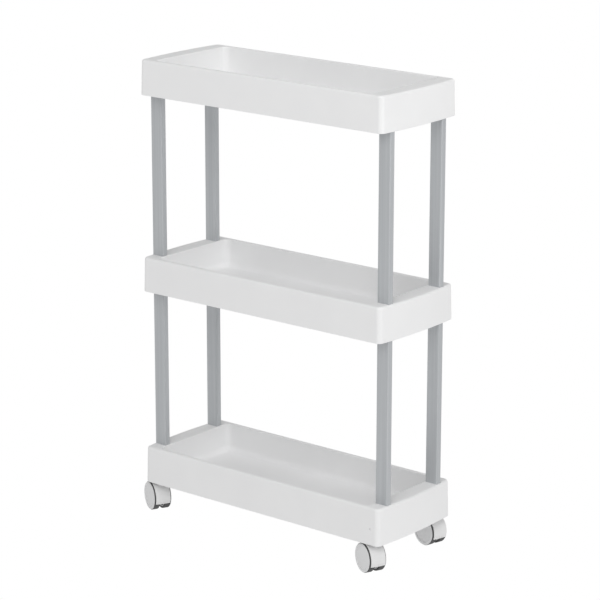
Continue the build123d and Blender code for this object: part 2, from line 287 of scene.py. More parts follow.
class Tray:
    """The outlines of one tray between its foot and its rim."""

    def __init__(self, node):
        low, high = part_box(node)
        self.foot = low.z
        self.rim = high.z
        self.half_length = (high.x - low.x) / 2
        self.half_width = (high.y - low.y) / 2

    def skirt(self, z, inset, corner_inset=None):
        """The outer wall's outline at height z, drawn in by inset."""
        lean = DRAFT * (z - self.foot) / (self.rim - self.foot)
        corner = OUTER_CORNER - (inset if corner_inset is None else corner_inset)
        return tray_outline(
            self.half_length - lean - inset, self.half_width - lean - inset, END_BOW, corner, z
        )

    def basin(self, z, inset):
        """The basin's outline at height z, drawn in by inset."""
        lean = BASIN_DRAFT * (self.rim - z) / BASIN_DEPTH
        half_length = self.half_length - BASIN_END - lean - inset
        half_width = self.half_width - BASIN_SIDE - lean - inset
        return tray_outline(half_length, half_width, 0, BASIN_CORNER - inset, z)

    def basin_rings(self, grow):
        """The basin's floor blend and wall, from its floor up to its rim, grown by grow."""
        floor_z = self.rim - BASIN_DEPTH - grow
        radius = FLOOR_BLEND + grow
        rings = []
        for i in range(BLEND_STEPS + 1):
            angle = math.radians(90 * i / BLEND_STEPS)
            z = floor_z + radius * (1 - math.cos(angle))
            rings.append(self.basin(z, radius * (1 - math.sin(angle)) - grow))
        return rings

    def shell(self):
        """The whole skin, from the basin floor out over the rim, down and up inside."""
        rings = self.basin_rings(0)
        for i in range(ROUND_STEPS + 1):
            angle = math.radians(90 * i / ROUND_STEPS)
            z = self.rim - BASIN_ROUND * (1 - math.sin(angle))
            rings.append(self.basin(z, -BASIN_ROUND * (1 - math.cos(angle))))
        for i in range(ROUND_STEPS + 1):
            angle = math.radians(90 * i / ROUND_STEPS)
            z = self.rim - RIM_ROUND * (1 - math.cos(angle))
            rings.append(self.skirt(z, RIM_ROUND * (1 - math.sin(angle))))
        for side in (0, WALL - FOOT_ROUND):
            for i in range(ROUND_STEPS + 1):
                angle = math.radians(90 * i / ROUND_STEPS)
                if side:
                    angle = math.radians(90) - angle
                z = self.foot + FOOT_ROUND * (1 - math.sin(angle))
                across = FOOT_ROUND * (1 - math.cos(angle))
                rings.append(self.skirt(z, WALL - across if side else across))
        rings.append(self.skirt(self.rim - WALL, WALL))
        rings.append(self.basin(self.rim - WALL, -WALL))
        rings.extend(reversed(self.basin_rings(WALL)))
        return rings


def box_mesh(shape, x, y, z_low, z_high, length, width):
    """Adds an upright block to a bmesh."""
    place = Matrix.Translation((x, y, (z_low + z_high) / 2))
    size = Matrix.Diagonal((length, width, z_high - z_low, 1))
    bmesh.ops.create_cube(shape, size=1, matrix=place @ size)


def rod_mesh(shape, place, radius, depth, tip_radius=None, sides=48):
    """Adds a closed cylinder or cone to a bmesh, its axis on the place's Z."""
    far = radius if tip_radius is None else tip_radius
    bmesh.ops.create_cone(
        shape, cap_ends=True, segments=sides, radius1=radius, radius2=far, depth=depth, matrix=place
    )


def finished(name, shape):
    """Turns a bmesh into a mesh of that name."""
    mesh = bpy.data.meshes.new(name)
    shape.to_mesh(mesh)
    shape.free()
    return mesh


def new_tree(name, inputs):
    """A Geometry Nodes tree with a geometry way through and the named inputs."""
    tree = bpy.data.node_groups.new(name, "GeometryNodeTree")
    tree.interface.new_socket("Geometry", in_out="INPUT", socket_type="NodeSocketGeometry")
    for input_name, kind in inputs.items():
        tree.interface.new_socket(input_name, in_out="INPUT", socket_type=kind)
    tree.interface.new_socket("Geometry", in_out="OUTPUT", socket_type="NodeSocketGeometry")
    return tree, tree.nodes.new("NodeGroupInput"), tree.nodes.new("NodeGroupOutput")


def maths(tree, operation, first, second):
    """A Math node over two sockets or numbers; gives its output socket."""
    node = tree.nodes.new("ShaderNodeMath")
    node.operation = operation
    for index, value in enumerate((first, second)):
        if isinstance(value, bpy.types.NodeSocket):
            tree.links.new(value, node.inputs[index])
        else:
            node.inputs[index].default_value = value
    return node.outputs[0]


def vector(tree, x, y, z):
    """A Combine XYZ node over sockets or numbers; gives its output socket."""
    node = tree.nodes.new("ShaderNodeCombineXYZ")
    for index, value in enumerate((x, y, z)):
        if isinstance(value, bpy.types.NodeSocket):
            tree.links.new(value, node.inputs[index])
        else:
            node.inputs[index].default_value = value
    return node.outputs[0]


def fuse(tree, operation, first, others):
    """A Mesh Boolean node; gives its output socket."""
    node = add_node(tree, "GeometryNodeMeshBoolean", operation=operation, solver="MANIFOLD")
    if operation == "DIFFERENCE":
        tree.links.new(first, node.inputs["Mesh 1"])
    else:
        others = [first] + list(others)
    for other in others:
        tree.links.new(other, node.inputs["Mesh 2"])
    return node.outputs["Mesh"]


def end_tree(tree, geometry, material, exit_node):
    """Ends a tree: instances made real, smooth faces with creases kept, material set."""
    real = tree.nodes.new("GeometryNodeRealizeInstances")
    smooth = tree.nodes.new("GeometryNodeSetShadeSmooth")
    angle = tree.nodes.new("GeometryNodeInputMeshEdgeAngle")
    crease = add_node(tree, "FunctionNodeCompare", operation="GREATER_THAN")
    crease.inputs["B"].default_value = CREASE_ANGLE
    sharp = add_node(tree, "GeometryNodeSetShadeSmooth", domain="EDGE")
    sharp.inputs["Shade Smooth"].default_value = False
    paint = tree.nodes.new("GeometryNodeSetMaterial")
    join(
        tree,
        (geometry, real.inputs[0]),
        (real.outputs[0], smooth.inputs[0]),
        (smooth.outputs[0], sharp.inputs[0]),
        (angle.outputs["Unsigned Angle"], crease.inputs["A"]),
        (crease.outputs["Result"], sharp.inputs["Selection"]),
        (sharp.outputs[0], paint.inputs[0]),
        (material, paint.inputs["Material"]),
        (paint.outputs[0], exit_node.inputs[0]),
    )


def grow_piece(name, base, tree, values):
    """Runs a tree on a mesh and gives the result as a plain mesh object of that name."""
    seed = bpy.data.objects.new(name + "_seed", base)
    bpy.context.scene.collection.objects.link(seed)
    modifier = seed.modifiers.new("grow", "NODES")
    modifier.node_group = tree
    for socket in tree.interface.items_tree:
        if socket.in_out == "INPUT" and socket.name in values:
            modifier[socket.identifier] = values[socket.name]
    weigh = seed.modifiers.new("weigh", "WEIGHTED_NORMAL")
    weigh.keep_sharp = True
    bpy.context.view_layer.update()
    graph = bpy.context.evaluated_depsgraph_get()
    mesh = bpy.data.meshes.new_from_object(seed.evaluated_get(graph), depsgraph=graph)
    mesh.name = name
    seed.modifiers.clear()
    bpy.data.objects.remove(seed)
    return place_mesh(mesh)


# The tree that turns a plain shell into a ribbed tray with its sockets cut.
tray_tree, tray_in, tray_out = new_tree(
    "moulded_tray",
    {
        "Skirt Core": "NodeSocketObject",
        "Basin Core": "NodeSocketObject",
        "Post Bosses": "NodeSocketObject",
        "Caster Bosses": "NodeSocketObject",
        "Cut Outs": "NodeSocketObject",
        "Cross Ribs": "NodeSocketInt",
        "Cross Rib Pitch": "NodeSocketFloat",
        "Long Rib Y": "NodeSocketFloat",
        "End Rib X": "NodeSocketFloat",
        "End Rib Y": "NodeSocketFloat",
        "End Width": "NodeSocketFloat",
        "Rib Thickness": "NodeSocketFloat",
        "Rib Foot": "NodeSocketFloat",
        "Floor Underside": "NodeSocketFloat",
        "Rim": "NodeSocketFloat",
        "Length": "NodeSocketFloat",
        "Width": "NodeSocketFloat",
        "Material": "NodeSocketMaterial",
    },
)


def tree_object(tree, socket):
    """The geometry of an object input, in the scene's own frame."""
    node = add_node(tree, "GeometryNodeObjectInfo", transform_space="ORIGINAL")
    tree.links.new(socket, node.inputs["Object"])
    return node.outputs["Geometry"]


def rib_row(count, start, offset, size):
    """A row of blocks in the tray tree."""
    line = tray_tree.nodes.new("GeometryNodeMeshLine")
    block = tray_tree.nodes.new("GeometryNodeMeshCube")
    row = tray_tree.nodes.new("GeometryNodeInstanceOnPoints")
    real = tray_tree.nodes.new("GeometryNodeRealizeInstances")
    if isinstance(count, bpy.types.NodeSocket):
        tray_tree.links.new(count, line.inputs["Count"])
    else:
        line.inputs["Count"].default_value = count
    join(
        tray_tree,
        (start, line.inputs["Start Location"]),
        (offset, line.inputs["Offset"]),
        (size, block.inputs["Size"]),
        (line.outputs[0], row.inputs["Points"]),
        (block.outputs[0], row.inputs["Instance"]),
        (row.outputs[0], real.inputs[0]),
    )
    return real.outputs[0]


sizes = tray_in.outputs
low_height = maths(tray_tree, "SUBTRACT", sizes["Floor Underside"], sizes["Rib Foot"])
low_height = maths(tray_tree, "ADD", low_height, BURIED)
low_middle = maths(tray_tree, "MULTIPLY_ADD", low_height, 0.5)
tray_tree.links.new(sizes["Rib Foot"], low_middle.node.inputs[2])
tall_height = maths(tray_tree, "SUBTRACT", sizes["Rim"], sizes["Rib Foot"])
tall_middle = maths(tray_tree, "MULTIPLY_ADD", tall_height, 0.5)
tray_tree.links.new(sizes["Rib Foot"], tall_middle.node.inputs[2])
gaps = maths(tray_tree, "SUBTRACT", sizes["Cross Ribs"], 1)
half_gaps = maths(tray_tree, "MULTIPLY", gaps, -0.5)
first_rib = maths(tray_tree, "MULTIPLY", half_gaps, sizes["Cross Rib Pitch"])
cross_row = rib_row(
    sizes["Cross Ribs"],
    vector(tray_tree, first_rib, 0, low_middle),
    vector(tray_tree, sizes["Cross Rib Pitch"], 0, 0),
    vector(tray_tree, sizes["Rib Thickness"], sizes["Width"], low_height),
)
long_row = rib_row(
    2,
    vector(tray_tree, 0, maths(tray_tree, "MULTIPLY", sizes["Long Rib Y"], -1), low_middle),
    vector(tray_tree, 0, maths(tray_tree, "MULTIPLY", sizes["Long Rib Y"], 2), 0),
    vector(tray_tree, sizes["Length"], sizes["Rib Thickness"], low_height),
)
end_rows = []
for end in (-1, 1):
    end_x = maths(tray_tree, "MULTIPLY", sizes["End Rib X"], end)
    end_rows.append(
        rib_row(
            2,
            vector(tray_tree, end_x, maths(tray_tree, "MULTIPLY", sizes["End Rib Y"], -1), tall_middle),
            vector(tray_tree, 0, maths(tray_tree, "MULTIPLY", sizes["End Rib Y"], 2), 0),
            vector(tray_tree, sizes["End Width"], sizes["Rib Thickness"], tall_height),
        )
    )
stiffening = fuse(
    tray_tree,
    "UNION",
    cross_row,
    [
        long_row,
        *end_rows,
        tree_object(tray_tree, sizes["Post Bosses"]),
        tree_object(tray_tree, sizes["Caster Bosses"]),
    ],
)
stiffening = fuse(tray_tree, "INTERSECT", stiffening, [tree_object(tray_tree, sizes["Skirt Core"])])
stiffening = fuse(tray_tree, "DIFFERENCE", stiffening, [tree_object(tray_tree, sizes["Basin Core"])])
moulding = fuse(tray_tree, "UNION", sizes["Geometry"], [stiffening])
moulding = fuse(tray_tree, "DIFFERENCE", moulding, [tree_object(tray_tree, sizes["Cut Outs"])])
end_tree(tray_tree, moulding, sizes["Material"], tray_out)


def group_tree(name, inputs, outputs):
    """A shader node group with named inputs, given with their defaults, and outputs."""
    tree = bpy.data.node_groups.new(name, "ShaderNodeTree")
    for input_name, value in inputs.items():
        socket = tree.interface.new_socket(input_name, in_out="INPUT", socket_type="NodeSocketFloat")
        socket.default_value = value
    for output_name in outputs:
        tree.interface.new_socket(output_name, in_out="OUTPUT", socket_type="NodeSocketFloat")
    return tree, tree.nodes.new("NodeGroupInput"), tree.nodes.new("NodeGroupOutput")


# Fine grain left by the mould, and the slow unevenness of a cooling wall.
grain_tree, grain_in, grain_out = group_tree(
    "mould_grain",
    {"Grain Scale": 900.0, "Wave Scale": 14.0, "Wave Share": 0.5},
    ("Height", "Mottle"),
)
grain_place = grain_tree.nodes.new("ShaderNodeTexCoord")
grain_fine = add_node(grain_tree, "ShaderNodeTexNoise", sockets={"Detail": 3.0, "Roughness": 0.6})
grain_wave = add_node(grain_tree, "ShaderNodeTexNoise", sockets={"Detail": 2.0, "Roughness": 0.5})
grain_mix = add_node(grain_tree, "ShaderNodeMix")
join(
    grain_tree,
    (grain_place.outputs["Object"], grain_fine.inputs["Vector"]),
    (grain_place.outputs["Object"], grain_wave.inputs["Vector"]),
    (grain_in.outputs["Grain Scale"], grain_fine.inputs["Scale"]),
    (grain_in.outputs["Wave Scale"], grain_wave.inputs["Scale"]),
    (grain_in.outputs["Wave Share"], grain_mix.inputs["Factor"]),
    (grain_fine.outputs["Fac"], grain_mix.inputs["A"]),
    (grain_wave.outputs["Fac"], grain_mix.inputs["B"]),
    (grain_mix.outputs["Result"], grain_out.inputs["Height"]),
    (grain_wave.outputs["Fac"], grain_out.inputs["Mottle"]),
)

# Painted highlight along edges, from how far a rounded normal leaves the true one.
edge_highlight_tree, edge_highlight_in, edge_highlight_out = group_tree(
    "rubbed_edges",
    {"Reach": 0.0012, "Break Up": 120.0, "Strength": 1.0},
    ("Mask",),
)
edge_highlight_place = edge_highlight_tree.nodes.new("ShaderNodeTexCoord")
edge_highlight_round = add_node(edge_highlight_tree, "ShaderNodeBevel", samples=EDGE_HIGHLIGHT_SAMPLES)
edge_highlight_true = edge_highlight_tree.nodes.new("ShaderNodeNewGeometry")
edge_highlight_dot = add_node(edge_highlight_tree, "ShaderNodeVectorMath", operation="DOT_PRODUCT")
edge_highlight_range = add_node(
    edge_highlight_tree,
    "ShaderNodeMapRange",
    sockets={"From Min": EDGE_HIGHLIGHT_LEAN_START, "From Max": EDGE_HIGHLIGHT_LEAN_FULL, "To Min": 0.0, "To Max": 1.0},
)
edge_highlight_noise = add_node(edge_highlight_tree, "ShaderNodeTexNoise", sockets={"Detail": 3.0})
edge_highlight_broken = add_node(edge_highlight_tree, "ShaderNodeMath", operation="MULTIPLY")
edge_highlight_scaled = add_node(edge_highlight_tree, "ShaderNodeMath", operation="MULTIPLY", use_clamp=True)
join(
    edge_highlight_tree,
    (edge_highlight_in.outputs["Reach"], edge_highlight_round.inputs["Radius"]),
    (edge_highlight_round.outputs["Normal"], edge_highlight_dot.inputs[0]),
    (edge_highlight_true.outputs["Normal"], edge_highlight_dot.inputs[1]),
    (edge_highlight_dot.outputs["Value"], edge_highlight_range.inputs["Value"]),
    (edge_highlight_place.outputs["Object"], edge_highlight_noise.inputs["Vector"]),
    (edge_highlight_in.outputs["Break Up"], edge_highlight_noise.inputs["Scale"]),
    (edge_highlight_range.outputs["Result"], edge_highlight_broken.inputs[0]),
    (edge_highlight_noise.outputs["Fac"], edge_highlight_broken.inputs[1]),
    (edge_highlight_broken.outputs[0], edge_highlight_scaled.inputs[0]),
    (edge_highlight_in.outputs["Strength"], edge_highlight_scaled.inputs[1]),
    (edge_highlight_scaled.outputs[0], edge_highlight_out.inputs["Mask"]),
)


def colour_mix(tree, mask, first, second):
    """Mixes two colours or colour sockets by a mask; gives the output socket."""
    node = add_node(tree, "ShaderNodeMix", data_type="RGBA")
    tree.links.new(mask, node.inputs["Factor"])
    for name, value in (("A", first), ("B", second)):
        socket = [s for s in node.inputs if s.name == name and s.type == "RGBA"][0]
        if isinstance(value, bpy.types.NodeSocket):
            tree.links.new(value, socket)
        else:
            socket.default_value = value
    return [s for s in node.outputs if s.type == "RGBA"][0]


def spread(tree, value, low, high):
    """Stretches a mask's middle, as noise gives it, to run from low to high."""
    node = add_node(
        tree,
        "ShaderNodeMapRange",
        sockets={"From Min": 0.3, "From Max": 0.7, "To Min": low, "To Max": high},
    )
    tree.links.new(value, node.inputs["Value"])
    return node.outputs["Result"]


def group_node(tree, group, **values):
    """Places a shader node group, with its inputs set."""
    node = add_node(tree, "ShaderNodeGroup", node_tree=group)
    for name, value in values.items():
        node.inputs[name.replace("_", " ")].default_value = value
    return node


def bumped(tree, shader, height, distance, strength=1.0):
    """Feeds a height through a Bump node to a shader's normal."""
    bump = add_node(tree, "ShaderNodeBump", sockets={"Distance": distance, "Strength": strength})
    join(tree, (height, bump.inputs["Height"]), (bump.outputs[0], shader.inputs["Normal"]))


def moulded_plastic(name, white, shade, edge, roughness, grain_scale, grain_depth, edge_reach):
    """A white moulded plastic: mottled colour, satin grain and edges made paler by a painted highlight.
    """
    material, shader = new_material(name)
    tree = material.node_tree
    grain = group_node(tree, grain_tree, Grain_Scale=grain_scale, Wave_Share=0.35)
    edge_highlight = group_node(tree, edge_highlight_tree, Reach=edge_reach)
    body_colour = colour_mix(tree, spread(tree, grain.outputs["Mottle"], 0, 1), shade, white)
    # The edge colour mixed in by this mask is a painted highlight on the rounded edges.
    colour = colour_mix(tree, edge_highlight.outputs["Mask"], body_colour, edge)
    gloss = spread(tree, grain.outputs["Mottle"], *roughness)
    join(tree, (colour, shader.inputs["Base Color"]), (gloss, shader.inputs["Roughness"]))
    bumped(tree, shader, grain.outputs["Height"], grain_depth)
    return material


tray_plastic = moulded_plastic(
    "white_polypropylene",
    TRAY_WHITE,
    TRAY_SHADE,
    TRAY_EDGE_HIGHLIGHT,
    roughness=(0.40, 0.48),
    grain_scale=1400.0,
    grain_depth=0.00003,
    edge_reach=0.0016,
)

post_corners = ("front_left", "front_right", "back_left", "back_right")
post_box = {corner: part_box("upper_post_" + corner) for corner in post_corners}
swivels = {j["name"]: Vector(j["pos_m"]) for j in frame["joints"] if j["name"].endswith("_swivel")}


def sockets_in(shape, z_low, z_high, grow):
    """Adds the four post sockets, or the walls round them, between two heights."""
    for low, high in post_box.values():
        middle = (low + high) / 2
        size = high - low
        box_mesh(shape, middle.x, middle.y, z_low, z_high, size.x + 2 * grow, size.y + 2 * grow)


for tray_name in ("bottom_tray", "middle_tray", "top_tray"):
    tray = Tray(tray_name)
    over = tray.rim + CUT_OVERRUN
    under = tray.foot - CUT_OVERRUN
    bosses = bmesh.new()
    casters = bmesh.new()
    cuts = bmesh.new()
    upper_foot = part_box("upper_post_front_left")[0].z
    lower_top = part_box("lower_post_front_left")[1].z
    lower_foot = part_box("lower_post_front_left")[0].z
    boss_foot = tray.foot + RIB_LIFT
    if tray_name == "bottom_tray":
        boss_foot = lower_foot - SOCKET_WALL
        sockets_in(cuts, lower_foot, over, SOCKET_PLAY)
        for place in swivels.values():
            boss_base = Matrix.Translation((place.x, place.y, tray.foot + CASTER_BOSS_LIFT))
            tall = tray.rim - tray.foot
            rod_mesh(casters, boss_base @ Matrix.Translation((0, 0, tall / 2)), CASTER_BOSS, tall)
            deep = CASTER_BORE_DEPTH + BORE_OVERRUN
            bore = Matrix.Translation((0, 0, deep / 2 - BORE_OVERRUN))
            rod_mesh(cuts, boss_base @ bore, CASTER_BORE, deep)
        dimple = Matrix.Translation(
            (tray.half_length - GATE_MARK_INSET, -tray.half_width, tray.foot + GATE_MARK_LIFT)
        )
        dimple = dimple @ Matrix.Rotation(math.radians(90), 4, "X")
        rod_mesh(cuts, dimple, GATE_MARK_RADIUS, 2 * GATE_MARK_DEPTH, sides=GATE_MARK_SIDES)
    elif tray_name == "middle_tray":
        sockets_in(cuts, upper_foot, over, SOCKET_PLAY)
        sockets_in(cuts, under, lower_top, SOCKET_PLAY)
    else:
        sockets_in(cuts, under, tray.rim - SOCKET_ROOF, SOCKET_PLAY)
    sockets_in(bosses, boss_foot, tray.rim - WALL + BURIED, SOCKET_PLAY + SOCKET_WALL)
    if not casters.verts:
        # A tray without casters has no bosses for them. The graph still needs a solid there, so it
        # gets a block as thick as a rib, buried in the middle cross rib.
        foot = tray.foot + RIB_LIFT
        box_mesh(casters, 0, 0, foot, tray.rim - BASIN_DEPTH, RIB_THICKNESS, RIB_THICKNESS)
    core_inset = WALL - BURIED
    skirt_core = [tray.skirt(z, core_inset) for z in (tray.rim - core_inset, tray.foot)]
    basin_core = tray.basin_rings(core_inset)
    basin_core.append(tray.basin(over, -core_inset))
    helpers = {
        "Skirt Core": place_mesh(mesh_from_rings("skirt_core", skirt_core)),
        "Basin Core": place_mesh(mesh_from_rings("basin_core", basin_core[::-1])),
        "Post Bosses": place_mesh(finished("post_bosses", bosses)),
        "Caster Bosses": place_mesh(finished("caster_bosses", casters)),
        "Cut Outs": place_mesh(finished("cut_outs", cuts)),
    }
    piece = grow_piece(
        tray_name + "_moulding",
        mesh_from_rings(tray_name + "_shell", tray.shell()),
        tray_tree,
        {
            **helpers,
            "Cross Ribs": CROSS_RIBS,
            "Cross Rib Pitch": CROSS_RIB_PITCH,
            "Long Rib Y": LONG_RIB_Y,
            "End Rib X": tray.half_length - BASIN_END / 2,
            "End Rib Y": END_RIB_Y,
            "End Width": BASIN_END,
            "Rib Thickness": RIB_THICKNESS,
            "Rib Foot": tray.foot + RIB_LIFT,
            "Floor Underside": tray.rim - BASIN_DEPTH - WALL,
            "Rim": tray.rim - WALL + BURIED,
            "Length": 2 * tray.half_length,
            "Width": 2 * tray.half_width,
            "Material": tray_plastic,
        },
    )
    for helper in helpers.values():
        bpy.data.objects.remove(helper)
    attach(piece, "cart")
    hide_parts(tray_name)


# ------------------------------------------------------------------------------------------
# The eight posts. Each is a length of extruded rectangular aluminium tube with softly rounded
# corners and a satin silver finish, sawn square and pushed into the trays' sockets.

POST_WALL = 0.0012
POST_CORNER = 0.0015
POST_CORNER_STEPS = 6
POST_BORE_CORNER = 0.0004
POST_SEAM = 0.000001              # points closer than this are made one
POST_SILVER = (0.548, 0.566, 0.583, 1)
POST_STREAK = (0.488, 0.506, 0.523, 1)
# Next: a painted highlight, the bright colour laid along the tube's rounded corners.
POST_EDGE_HIGHLIGHT = (0.760, 0.772, 0.784, 1)
DIE_LINE_STRETCH = (1.0, 1.0, 0.012)

post_tree, post_in, post_out = new_tree(
    "extruded_tube",
    {
        "Section Length": "NodeSocketFloat",
        "Section Width": "NodeSocketFloat",
        "Wall": "NodeSocketFloat",
        "Corner": "NodeSocketFloat",
        "Bore Corner": "NodeSocketFloat",
        "Corner Steps": "NodeSocketInt",
        "Height": "NodeSocketFloat",
        "Foot": "NodeSocketVector",
        "Material": "NodeSocketMaterial",
    },
)


def tube_loop(length, width, corner):
    """One rounded rectangle of the tube's section, in the post tree."""
    loop = post_tree.nodes.new("GeometryNodeCurvePrimitiveQuadrilateral")
    rounding = add_node(post_tree, "GeometryNodeFilletCurve", mode="POLY")
    join(
        post_tree,
        (length, loop.inputs["Width"]),
        (width, loop.inputs["Height"]),
        (loop.outputs[0], rounding.inputs["Curve"]),
        (corner, rounding.inputs["Radius"]),
        (post_in.outputs["Corner Steps"], rounding.inputs["Count"]),
    )
    return rounding.outputs[0]


tube = post_in.outputs
two_walls = maths(post_tree, "MULTIPLY", tube["Wall"], 2)
bore_length = maths(post_tree, "SUBTRACT", tube["Section Length"], two_walls)
bore_width = maths(post_tree, "SUBTRACT", tube["Section Width"], two_walls)
section = post_tree.nodes.new("GeometryNodeJoinGeometry")
section_face = add_node(post_tree, "GeometryNodeFillCurve", mode="NGONS")
pushed = post_tree.nodes.new("GeometryNodeExtrudeMesh")
pushed.inputs["Individual"].default_value = False
sawn_foot = post_tree.nodes.new("GeometryNodeFlipFaces")
whole = post_tree.nodes.new("GeometryNodeJoinGeometry")
sealed = add_node(post_tree, "GeometryNodeMergeByDistance", sockets={"Distance": POST_SEAM})
stood = post_tree.nodes.new("GeometryNodeTransform")
join(
    post_tree,
    (tube_loop(tube["Section Length"], tube["Section Width"], tube["Corner"]), section.inputs[0]),
    (tube_loop(bore_length, bore_width, tube["Bore Corner"]), section.inputs[0]),
    (section.outputs[0], section_face.inputs["Curve"]),
    (section_face.outputs[0], pushed.inputs["Mesh"]),
    (vector(post_tree, 0, 0, tube["Height"]), pushed.inputs["Offset"]),
    (section_face.outputs[0], sawn_foot.inputs["Mesh"]),
    (pushed.outputs["Mesh"], whole.inputs[0]),
    (sawn_foot.outputs[0], whole.inputs[0]),
    (whole.outputs[0], sealed.inputs["Geometry"]),
    (sealed.outputs[0], stood.inputs["Geometry"]),
    (tube["Foot"], stood.inputs["Translation"]),
)
end_tree(post_tree, stood.outputs[0], tube["Material"], post_out)

post_aluminium, post_shader = new_material("satin_aluminium")
post_nodes = post_aluminium.node_tree
post_place = post_nodes.nodes.new("ShaderNodeTexCoord")
streak_place = add_node(post_nodes, "ShaderNodeMapping", sockets={"Scale": DIE_LINE_STRETCH})
die_lines = add_node(
    post_nodes, "ShaderNodeTexNoise", sockets={"Scale": 1500.0, "Detail": 4.0, "Roughness": 0.6}
)
die_bands = add_node(
    post_nodes, "ShaderNodeTexNoise", sockets={"Scale": 330.0, "Detail": 2.0, "Roughness": 0.5}
)
# This mask makes the tube's corners paler with a painted highlight.
post_edge_highlight = group_node(post_nodes, edge_highlight_tree, Reach=0.0008, Strength=0.8)
join(
    post_nodes,
    (post_place.outputs["Object"], streak_place.inputs["Vector"]),
    (streak_place.outputs[0], die_lines.inputs["Vector"]),
    (streak_place.outputs[0], die_bands.inputs["Vector"]),
)
post_bands = spread(post_nodes, die_bands.outputs["Fac"], 0, 1)
post_body = colour_mix(post_nodes, post_bands, POST_STREAK, POST_SILVER)
post_colour = colour_mix(post_nodes, post_edge_highlight.outputs["Mask"], post_body, POST_EDGE_HIGHLIGHT)
join(
    post_nodes,
    (post_colour, post_shader.inputs["Base Color"]),
    (spread(post_nodes, die_lines.outputs["Fac"], 0.42, 0.52), post_shader.inputs["Roughness"]),
)
post_shader.inputs["Metallic"].default_value = 0.40
bumped(post_nodes, post_shader, die_lines.outputs["Fac"], 0.00002)

for storey in ("lower", "upper"):
    for side in ("front", "back"):
        for end in ("left", "right"):
            post_name = f"{storey}_post_{side}_{end}"
            low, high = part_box(post_name)
            size = high - low
            piece = grow_piece(
                post_name + "_tube",
                bpy.data.meshes.new("post_seed"),
                post_tree,
                {
                    "Section Length": size.x,
                    "Section Width": size.y,
                    "Wall": POST_WALL,
                    "Corner": POST_CORNER,
                    "Bore Corner": POST_BORE_CORNER,
                    "Corner Steps": POST_CORNER_STEPS,
                    "Height": size.z,
                    "Foot": ((low.x + high.x) / 2, (low.y + high.y) / 2, low.z),
                    "Material": post_aluminium,
                },
            )
            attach(piece, "cart")
            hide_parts(post_name)


# ------------------------------------------------------------------------------------------
# The caster hoods. Each is a glossy white nylon moulding that swivels under a corner: a curved
# cover over two small wheels, a web between them that holds the axle, and a boss for the stem.

HOOD_INNER = 0.0199
HOOD_OUTER = 0.0214
HOOD_CROWN = 0.0004               # how much lower the cover is at its sides
HOOD_HALF_WIDTH = 0.0102
HOOD_FRONT = math.radians(-20)
HOOD_REAR = math.radians(100)
WEB_FRONT = 0.0
HOOD_STEPS = 40
HOOD_EDGE_ROUND = 0.0005
HOOD_EDGE_STEPS = 4
HOOD_CROWN_STEPS = 6
HOOD_CORNER_ROUND = 0.00015
HOOD_LIP = math.radians(7)        # step along the lower front edge
HOOD_LIP_RAMP = math.radians(1.2)
HOOD_LIP_STEP = 0.0004
WEB_STEPS = 24
WEB_HALF = 0.0022
WEB_SINK = 0.0003                 # how far short of the cover's middle the web ends
WEB_BOSS = 0.0060
WEB_BOSS_HALF = 0.0025
STEM_BOSS = 0.0054
STEM_SHANK = 0.0030
STEM_SHANK_HOLE = 0.0100          # length of the hole's cutter
AXLE_BORE = 0.0020
AXLE_BORE_LENGTH = 0.0200
HOOD_WHITE = (0.860, 0.862, 0.865, 1)
HOOD_SHADE = (0.835, 0.837, 0.841, 1)
# Next: a painted highlight, the paler colour laid along the hood's rounded edges.
HOOD_EDGE_HIGHLIGHT = (0.880, 0.882, 0.885, 1)

caster_plastic = moulded_plastic(
    "white_nylon",
    HOOD_WHITE,
    HOOD_SHADE,
    HOOD_EDGE_HIGHLIGHT,
    roughness=(0.26, 0.34),
    grain_scale=2600.0,
    grain_depth=0.00001,
    edge_reach=0.0006,
)
corners = [name[: -len("_swivel")] for name in swivels]
wheel_spins = {j["name"]: j for j in frame["joints"] if j["name"].endswith("_spin")}
axle_joint = {corner: wheel_spins[corner + "_left_wheel_spin"] for corner in corners}


def axle_frame(corner):
    """Where a caster's axle lies: Y along it, Z up, X towards the swivel."""
    joint = axle_joint[corner]
    turn = math.atan2(-joint["axis"][0], joint["axis"][1])
    return Matrix.Translation(joint["pos_m"]) @ Matrix.Rotation(turn, 4, "Z")


def round_about_axle(angle, radius, along):
    """A point at an angle up from level, at a radius from the axle and a distance along it."""
    return Vector((radius * math.cos(angle), along, radius * math.sin(angle)))


def cover_section(step):
    """The cover's section as (radius, distance along the axle) points, drawn in by step."""
    outer = HOOD_OUTER - step
    section = []
    for i in range(HOOD_CROWN_STEPS + 1):
        share = 1 - 2 * i / HOOD_CROWN_STEPS
        along = share * (HOOD_HALF_WIDTH - HOOD_EDGE_ROUND)
        section.append((outer - HOOD_CROWN * share ** 2, along))
    for i in range(1, HOOD_EDGE_STEPS + 1):
        angle = math.radians(90 * i / HOOD_EDGE_STEPS)
        radius = outer - HOOD_CROWN - HOOD_EDGE_ROUND * (1 - math.cos(angle))
        section.append((radius, -HOOD_HALF_WIDTH + HOOD_EDGE_ROUND * (1 - math.sin(angle))))
    section.append((HOOD_INNER, -HOOD_HALF_WIDTH))
    section.append((HOOD_INNER, HOOD_HALF_WIDTH))
    for i in range(HOOD_EDGE_STEPS):
        angle = math.radians(90 * (1 - i / HOOD_EDGE_STEPS))
        radius = outer - HOOD_CROWN - HOOD_EDGE_ROUND * (1 - math.cos(angle))
        section.append((radius, HOOD_HALF_WIDTH - HOOD_EDGE_ROUND * (1 - math.sin(angle))))
    return section


